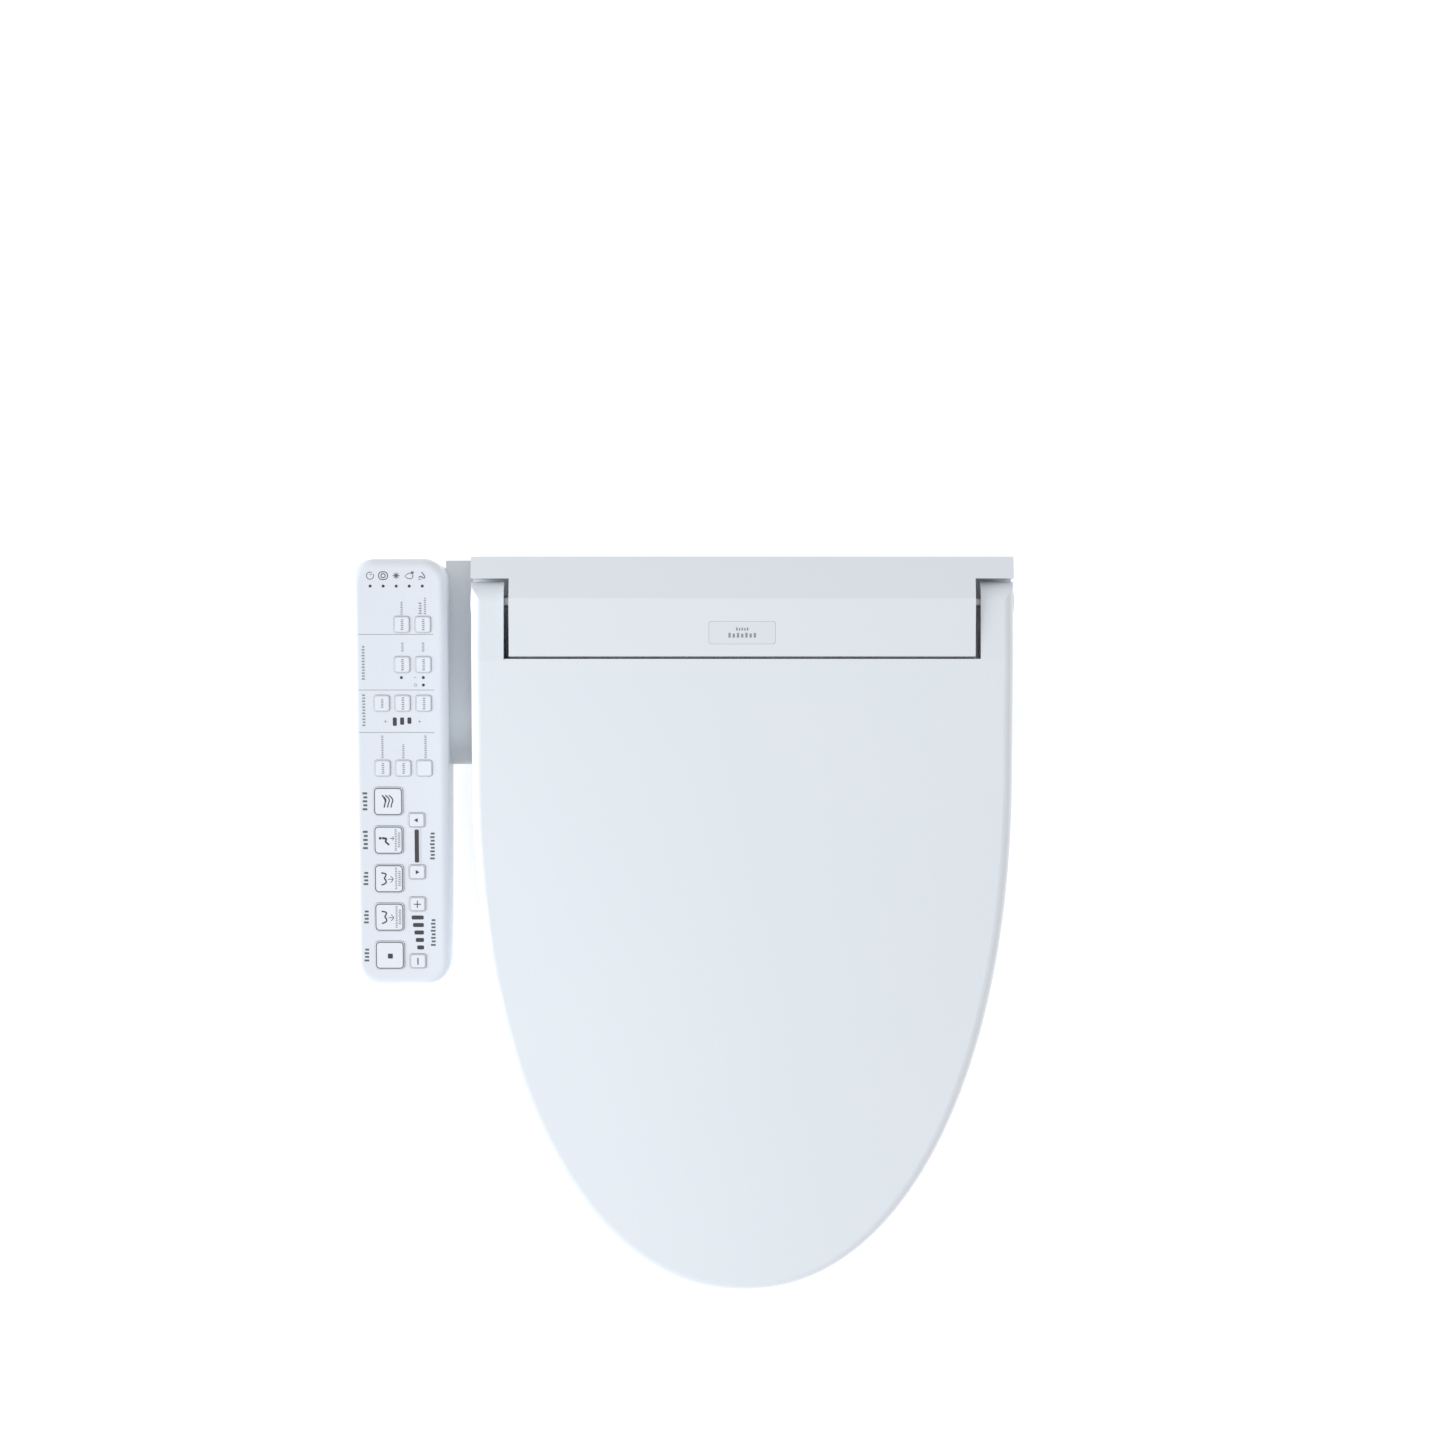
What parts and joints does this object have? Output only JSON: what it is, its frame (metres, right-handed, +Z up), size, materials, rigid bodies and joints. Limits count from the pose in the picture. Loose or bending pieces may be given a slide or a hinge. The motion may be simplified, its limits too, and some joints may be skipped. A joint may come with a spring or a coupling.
{
  "type": "electric bidet seat",
  "caption": "Electric bidet toilet seat with hinged lid and seat, a rear housing with wash nozzles and warm-air dryer, and a side control arm with push keys.",
  "frame": {"origin": "midway between the two fixing slots, on the plane of the toilet rim", "axes": "+Z up, +Y towards the cistern, -Y towards the front of the seat, -X towards the control arm"},
  "size_m": [0.4772, 0.5342, 0.14],
  "materials": {
    "case_white": "moulded, satin gloss",
    "lid_white": "high gloss, faintly crowned",
    "seat_white": "high gloss",
    "panel_white": "satin film over moulding",
    "key_white": "satin key cap",
    "nameplate": "blank inlay, satin",
    "grey_plastic": "fine moulded grain",
    "dark_plastic": "glass-filled moulding",
    "button_grey": "satin",
    "steel": "machined",
    "nozzle_steel": "polished tube",
    "heater_foil": "foil",
    "buffer_rubber": "light grey soft rubber",
    "circuit_board": "solder mask",
    "lens": "smoked lamp window",
    "tank_plastic": "natural moulding",
    "inlet_plastic": "moulded spigot"
  },
  "bodies": {
    "mount": {"mounting_plate": "grey_plastic"},
    "housing": {"bottom_case": "case_white", "top_cover": "case_white", "nameplate": "nameplate", "case_screws": "steel", "hinge_pins": "steel", "seat_damper": "dark_plastic", "lid_damper": "dark_plastic", "arm_case": "case_white", "arm_cover": "panel_white", "panel_board": "circuit_board", "indicator_lenses": "lens", "water_tank": "tank_plastic", "tank_cap": "tank_plastic", "tank_heater": "steel", "inlet_valve": "dark_plastic", "water_inlet": "inlet_plastic", "flow_valve": "grey_plastic", "nozzle_guide": "grey_plastic", "nozzle_motors": "steel", "dryer_housing": "grey_plastic", "dryer_heater": "steel", "dryer_motor": "steel", "fan_housing": "grey_plastic", "main_board": "circuit_board", "power_module": "dark_plastic", "cord_gland": "buffer_rubber"},
    "seat": {"seat_top": "seat_white", "seat_base": "seat_white", "seat_heater": "heater_foil", "seat_buffers": "buffer_rubber"},
    "lid": {"lid": "lid_white", "lid_buffers": "buffer_rubber"},
    "nozzle_rear": {"nozzle_rear": "nozzle_steel"},
    "nozzle_front": {"nozzle_front": "nozzle_steel"},
    "dryer_fan": {"dryer_impeller": "dark_plastic"},
    "deodoriser_fan": {"deodoriser_impeller": "dark_plastic"},
    "dryer_flap": {"dryer_flap": "case_white"},
    "filter": {"filter_cartridge": "grey_plastic"},
    "release_button": {"release_button": "button_grey"},
    "key_dryer": {"key_dryer": "key_white"},
    "key_front_wash": {"key_front_wash": "key_white"},
    "key_soft_wash": {"key_soft_wash": "key_white"},
    "key_rear_wash": {"key_rear_wash": "key_white"},
    "key_stop": {"key_stop": "key_white"},
    "key_position_up": {"key_position_up": "key_white"},
    "key_position_down": {"key_position_down": "key_white"},
    "key_pressure_plus": {"key_pressure_plus": "key_white"},
    "key_pressure_minus": {"key_pressure_minus": "key_white"},
    "key_nozzle_clean": {"key_nozzle_clean": "key_white"},
    "key_pulse": {"key_pulse": "key_white"},
    "key_oscillate": {"key_oscillate": "key_white"},
    "key_water_heat": {"key_water_heat": "key_white"},
    "key_seat_heat": {"key_seat_heat": "key_white"},
    "key_dryer_heat": {"key_dryer_heat": "key_white"},
    "key_saving": {"key_saving": "key_white"},
    "key_night_light": {"key_night_light": "key_white"},
    "key_power": {"key_power": "key_white"},
    "key_child_lock": {"key_child_lock": "key_white"}
  },
  "joints": [
    {"name": "unit_slide", "type": "slide", "parent": "mount", "child": "housing", "axis": [0, -1, 0], "range_m": [0, 0.04]},
    {"name": "seat_hinge", "type": "hinge", "parent": "housing", "child": "seat", "pos_m": [0, 0.025, 0.1195], "axis": [1, 0, 0], "range_deg": [-94, 0]},
    {"name": "lid_hinge", "type": "hinge", "parent": "seat", "child": "lid", "pos_m": [0, 0.025, 0.1195], "axis": [-1, 0, 0], "range_deg": [0, 94]},
    {"name": "nozzle_rear_slide", "type": "slide", "parent": "housing", "child": "nozzle_rear", "axis": [0, -0.9613, -0.2756], "range_m": [0, 0.09]},
    {"name": "nozzle_front_slide", "type": "slide", "parent": "housing", "child": "nozzle_front", "axis": [0, -0.9613, -0.2756], "range_m": [0, 0.09]},
    {"name": "dryer_fan_spin", "type": "hinge", "parent": "housing", "child": "dryer_fan", "pos_m": [0.06, 0.019, 0.039], "axis": [1, 0, 0], "continuous": true},
    {"name": "deodoriser_fan_spin", "type": "hinge", "parent": "housing", "child": "deodoriser_fan", "pos_m": [0.124, -0.022, 0.02], "axis": [0, 0, 1], "continuous": true},
    {"name": "dryer_flap_hinge", "type": "hinge", "parent": "housing", "child": "dryer_flap", "pos_m": [0.043, -0.1082, 0.029], "axis": [-1, 0, 0], "range_deg": [0, 70]},
    {"name": "filter_slide", "type": "slide", "parent": "housing", "child": "filter", "axis": [1, 0, 0], "range_m": [0, 0.06]},
    {"name": "release_press", "type": "slide", "parent": "housing", "child": "release_button", "axis": [-1, 0, 0], "range_m": [0, 0.004], "stiffness_N_per_m": 500, "springref_m": -0.004},
    {"name": "dryer_press", "type": "slide", "parent": "housing", "child": "key_dryer", "axis": [0, 0.1377, -0.9905], "range_m": [0, 0.0007], "stiffness_N_per_m": 600, "springref_m": -0.0015},
    {"name": "front_wash_press", "type": "slide", "parent": "housing", "child": "key_front_wash", "axis": [0, 0.1377, -0.9905], "range_m": [0, 0.0007], "stiffness_N_per_m": 600, "springref_m": -0.0015},
    {"name": "soft_wash_press", "type": "slide", "parent": "housing", "child": "key_soft_wash", "axis": [0, 0.1377, -0.9905], "range_m": [0, 0.0007], "stiffness_N_per_m": 600, "springref_m": -0.0015},
    {"name": "rear_wash_press", "type": "slide", "parent": "housing", "child": "key_rear_wash", "axis": [0, 0.1377, -0.9905], "range_m": [0, 0.0007], "stiffness_N_per_m": 600, "springref_m": -0.0015},
    {"name": "stop_press", "type": "slide", "parent": "housing", "child": "key_stop", "axis": [0, 0.1377, -0.9905], "range_m": [0, 0.0007], "stiffness_N_per_m": 600, "springref_m": -0.0015},
    {"name": "position_up_press", "type": "slide", "parent": "housing", "child": "key_position_up", "axis": [0, 0.1377, -0.9905], "range_m": [0, 0.0007], "stiffness_N_per_m": 600, "springref_m": -0.0015},
    {"name": "position_down_press", "type": "slide", "parent": "housing", "child": "key_position_down", "axis": [0, 0.1377, -0.9905], "range_m": [0, 0.0007], "stiffness_N_per_m": 600, "springref_m": -0.0015},
    {"name": "pressure_plus_press", "type": "slide", "parent": "housing", "child": "key_pressure_plus", "axis": [0, 0.1377, -0.9905], "range_m": [0, 0.0007], "stiffness_N_per_m": 600, "springref_m": -0.0015},
    {"name": "pressure_minus_press", "type": "slide", "parent": "housing", "child": "key_pressure_minus", "axis": [0, 0.1377, -0.9905], "range_m": [0, 0.0007], "stiffness_N_per_m": 600, "springref_m": -0.0015},
    {"name": "nozzle_clean_press", "type": "slide", "parent": "housing", "child": "key_nozzle_clean", "axis": [0, 0.1377, -0.9905], "range_m": [0, 0.0007], "stiffness_N_per_m": 600, "springref_m": -0.0015},
    {"name": "pulse_press", "type": "slide", "parent": "housing", "child": "key_pulse", "axis": [0, 0.1377, -0.9905], "range_m": [0, 0.0007], "stiffness_N_per_m": 600, "springref_m": -0.0015},
    {"name": "oscillate_press", "type": "slide", "parent": "housing", "child": "key_oscillate", "axis": [0, 0.1377, -0.9905], "range_m": [0, 0.0007], "stiffness_N_per_m": 600, "springref_m": -0.0015},
    {"name": "water_heat_press", "type": "slide", "parent": "housing", "child": "key_water_heat", "axis": [0, 0.1377, -0.9905], "range_m": [0, 0.0007], "stiffness_N_per_m": 600, "springref_m": -0.0015},
    {"name": "seat_heat_press", "type": "slide", "parent": "housing", "child": "key_seat_heat", "axis": [0, 0.1377, -0.9905], "range_m": [0, 0.0007], "stiffness_N_per_m": 600, "springref_m": -0.0015},
    {"name": "dryer_heat_press", "type": "slide", "parent": "housing", "child": "key_dryer_heat", "axis": [0, 0.1377, -0.9905], "range_m": [0, 0.0007], "stiffness_N_per_m": 600, "springref_m": -0.0015},
    {"name": "saving_press", "type": "slide", "parent": "housing", "child": "key_saving", "axis": [0, 0.1377, -0.9905], "range_m": [0, 0.0007], "stiffness_N_per_m": 600, "springref_m": -0.0015},
    {"name": "night_light_press", "type": "slide", "parent": "housing", "child": "key_night_light", "axis": [0, 0.1377, -0.9905], "range_m": [0, 0.0007], "stiffness_N_per_m": 600, "springref_m": -0.0015},
    {"name": "power_press", "type": "slide", "parent": "housing", "child": "key_power", "axis": [0, 0.1377, -0.9905], "range_m": [0, 0.0007], "stiffness_N_per_m": 600, "springref_m": -0.0015},
    {"name": "child_lock_press", "type": "slide", "parent": "housing", "child": "key_child_lock", "axis": [0, 0.1377, -0.9905], "range_m": [0, 0.0007], "stiffness_N_per_m": 600, "springref_m": -0.0015}
  ]
}
